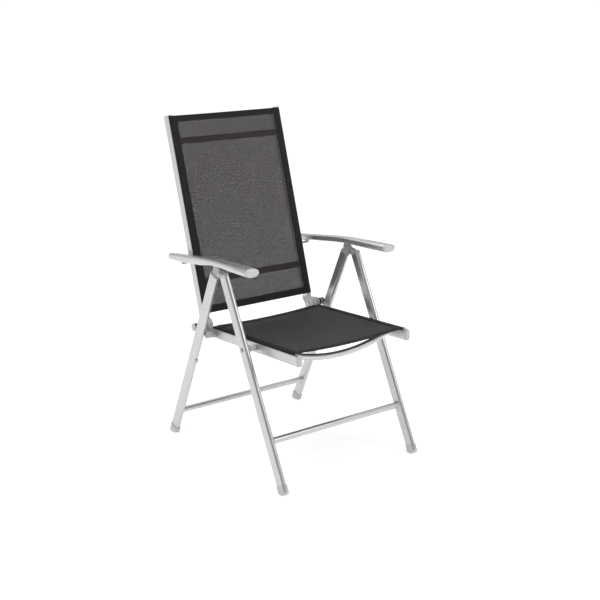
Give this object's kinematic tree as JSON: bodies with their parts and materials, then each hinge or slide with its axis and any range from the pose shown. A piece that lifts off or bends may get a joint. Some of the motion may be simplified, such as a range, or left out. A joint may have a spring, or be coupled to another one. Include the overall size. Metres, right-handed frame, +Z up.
{
  "type": "folding garden armchair",
  "caption": "High-backed folding armchair with oval aluminium tubes, stretched mesh seat and back, and armrests with a notched rack for reclining.",
  "frame": {"origin": "centre of the overall box, on the floor", "axes": "+Z up, +X towards the sitter's left-hand side as seen from the front (viewer's right), -Y is the front of the chair"},
  "size_m": [0.5868, 0.73, 1.0724],
  "materials": {
    "silver_tube": "silver powder-coated aluminium, satin",
    "grey_plastic": "moulded grey plastic, fine satin",
    "seat_mesh": "woven plastic-coated polyester, anthracite",
    "back_mesh": "woven plastic-coated polyester, anthracite",
    "black_rubber": "matt black",
    "steel": "zinc-plated steel"
  },
  "bodies": {
    "front_frame": {"front_leg_left": "silver_tube", "front_leg_right": "silver_tube", "front_stretcher": "silver_tube", "front_foot_left": "grey_plastic", "front_foot_right": "grey_plastic", "leg_top_left": "grey_plastic", "leg_top_right": "grey_plastic", "seat_pivot_bolts": "steel", "seat_pivot_bushes": "grey_plastic", "apex_rivets": "steel"},
    "rear_frame": {"rear_leg_left": "silver_tube", "rear_leg_right": "silver_tube", "rear_stretcher": "silver_tube", "rear_foot_left": "grey_plastic", "rear_foot_right": "grey_plastic", "arm_bracket_left": "grey_plastic", "arm_bracket_right": "grey_plastic", "leg_bumpers": "black_rubber"},
    "seat": {"seat_rail_left": "silver_tube", "seat_rail_right": "silver_tube", "seat_front_bow": "silver_tube", "seat_rear_bar": "silver_tube", "seat_fabric": "seat_mesh", "seat_cords": "black_rubber", "rail_front_caps": "grey_plastic", "seat_hinge_left": "grey_plastic", "seat_hinge_right": "grey_plastic", "guide_bushes": "grey_plastic"},
    "hinge_axle": {"hinge_bolts": "steel", "hinge_spacers": "grey_plastic", "stop_rollers": "black_rubber"},
    "backrest": {"back_post_left": "silver_tube", "back_post_right": "silver_tube", "back_top_bar": "silver_tube", "back_low_bar": "silver_tube", "back_fabric": "back_mesh", "back_cords": "black_rubber", "post_caps": "grey_plastic", "back_hinge_left": "grey_plastic", "back_hinge_right": "grey_plastic", "rack_pins": "steel"},
    "left_arm_bolt": {"arm_bolt_left": "steel"},
    "left_arm_sleeve": {"arm_sleeve_left": "grey_plastic"},
    "left_armrest": {"armrest_left": "silver_tube", "arm_saddle_left": "grey_plastic", "arm_rack_left": "grey_plastic"},
    "right_arm_bolt": {"arm_bolt_right": "steel"},
    "right_arm_sleeve": {"arm_sleeve_right": "grey_plastic"},
    "right_armrest": {"armrest_right": "silver_tube", "arm_saddle_right": "grey_plastic", "arm_rack_right": "grey_plastic"}
  },
  "joints": [
    {"name": "leg_fold", "type": "hinge", "parent": "front_frame", "child": "rear_frame", "pos_m": [0, -0.0274, 0.618], "axis": [1, 0, 0], "range_deg": [-50.5, 0]},
    {"name": "seat_fold", "type": "hinge", "parent": "front_frame", "child": "seat", "pos_m": [0, -0.14892, 0.40625], "axis": [1, 0, 0], "range_deg": [-100.44, 0.2]},
    {"name": "back_fold", "type": "hinge", "parent": "seat", "child": "hinge_axle", "pos_m": [0, 0.1352, 0.40879], "axis": [1, 0, 0], "range_deg": [-0.2, 88.6]},
    {"name": "recline", "type": "hinge", "parent": "hinge_axle", "child": "backrest", "pos_m": [0, 0.1352, 0.40879], "axis": [1, 0, 0], "range_deg": [-20, 0]},
    {"name": "arm_fold_left", "type": "hinge", "parent": "rear_frame", "child": "left_arm_bolt", "pos_m": [0, 0.0106, 0.65], "axis": [1, 0, 0], "range_deg": [-47.17, 0.2]},
    {"name": "arm_tilt_left", "type": "hinge", "parent": "left_arm_bolt", "child": "left_arm_sleeve", "pos_m": [0, 0.0106, 0.65], "axis": [1, 0, 0], "range_deg": [-7, 0.2]},
    {"name": "arm_lift_left", "type": "hinge", "parent": "left_arm_sleeve", "child": "left_armrest", "pos_m": [0, 0.0106, 0.65], "axis": [1, 0, 0], "range_deg": [0, 8]},
    {"name": "arm_fold_right", "type": "hinge", "parent": "rear_frame", "child": "right_arm_bolt", "pos_m": [0, 0.0106, 0.65], "axis": [1, 0, 0], "range_deg": [-47.17, 0.2]},
    {"name": "arm_tilt_right", "type": "hinge", "parent": "right_arm_bolt", "child": "right_arm_sleeve", "pos_m": [0, 0.0106, 0.65], "axis": [1, 0, 0], "range_deg": [-7, 0.2]},
    {"name": "arm_lift_right", "type": "hinge", "parent": "right_arm_sleeve", "child": "right_armrest", "pos_m": [0, 0.0106, 0.65], "axis": [1, 0, 0], "range_deg": [0, 8]}
  ],
  "couplings": [
    {"joint": "seat_fold", "follows": "leg_fold", "ratio": 1.985},
    {"joint": "back_fold", "follows": "leg_fold", "ratio": -1.7505},
    {"joint": "arm_fold_left", "follows": "leg_fold", "ratio": 0.93},
    {"joint": "arm_tilt_left", "follows": "recline", "ratio": 0.34},
    {"joint": "arm_fold_right", "follows": "leg_fold", "ratio": 0.93},
    {"joint": "arm_tilt_right", "follows": "recline", "ratio": 0.34}
  ]
}
